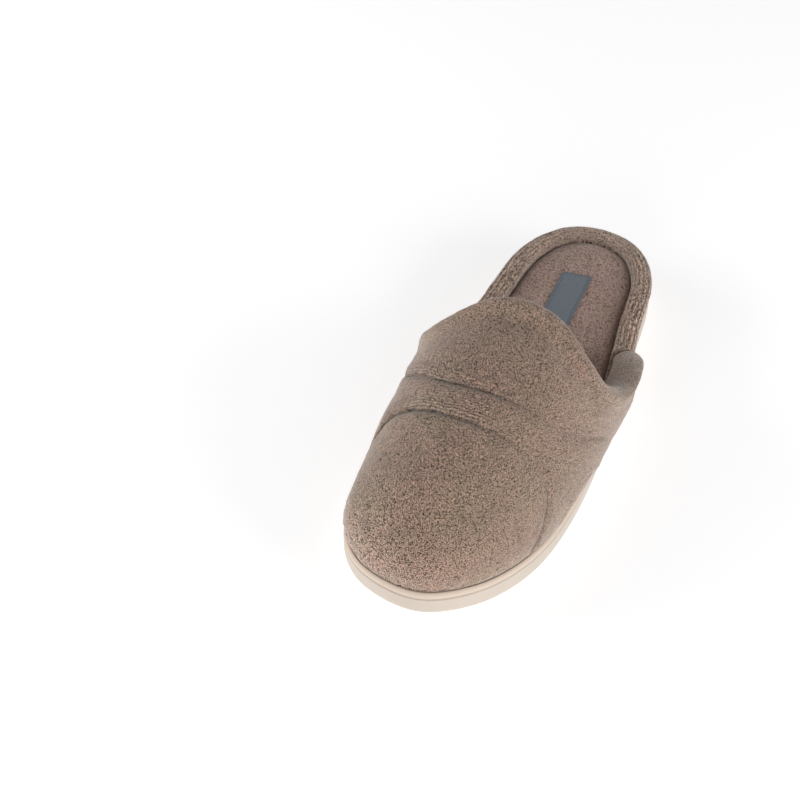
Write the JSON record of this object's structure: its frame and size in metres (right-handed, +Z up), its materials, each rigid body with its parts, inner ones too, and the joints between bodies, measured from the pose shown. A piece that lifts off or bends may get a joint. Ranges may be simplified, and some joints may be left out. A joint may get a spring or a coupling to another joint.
{
  "type": "slipper",
  "caption": "Left backless house slipper: quilted terry vamp, padded terry rim round the heel, terry footbed with a plain label, and a smooth moulded sole.",
  "frame": {"origin": "on the floor, under the middle of the slipper's outer box", "axes": "+Z up; +Y from the toe to the heel; +X to the outer side of the left foot, so the big toe's side is -X"},
  "size_m": [0.114, 0.285, 0.0851],
  "materials": {
    "outsole": "smooth moulded sole, soft sheen",
    "upper": "padded terry with stitched channels",
    "heel_rim": "padded terry roll",
    "insole": "flat worn terry",
    "insole_label": "flat woven tape"
  },
  "bodies": {
    "root": {"outsole": "outsole", "upper": "upper", "heel_rim": "heel_rim", "insole": "insole", "insole_label": "insole_label"}
  },
  "joints": []
}
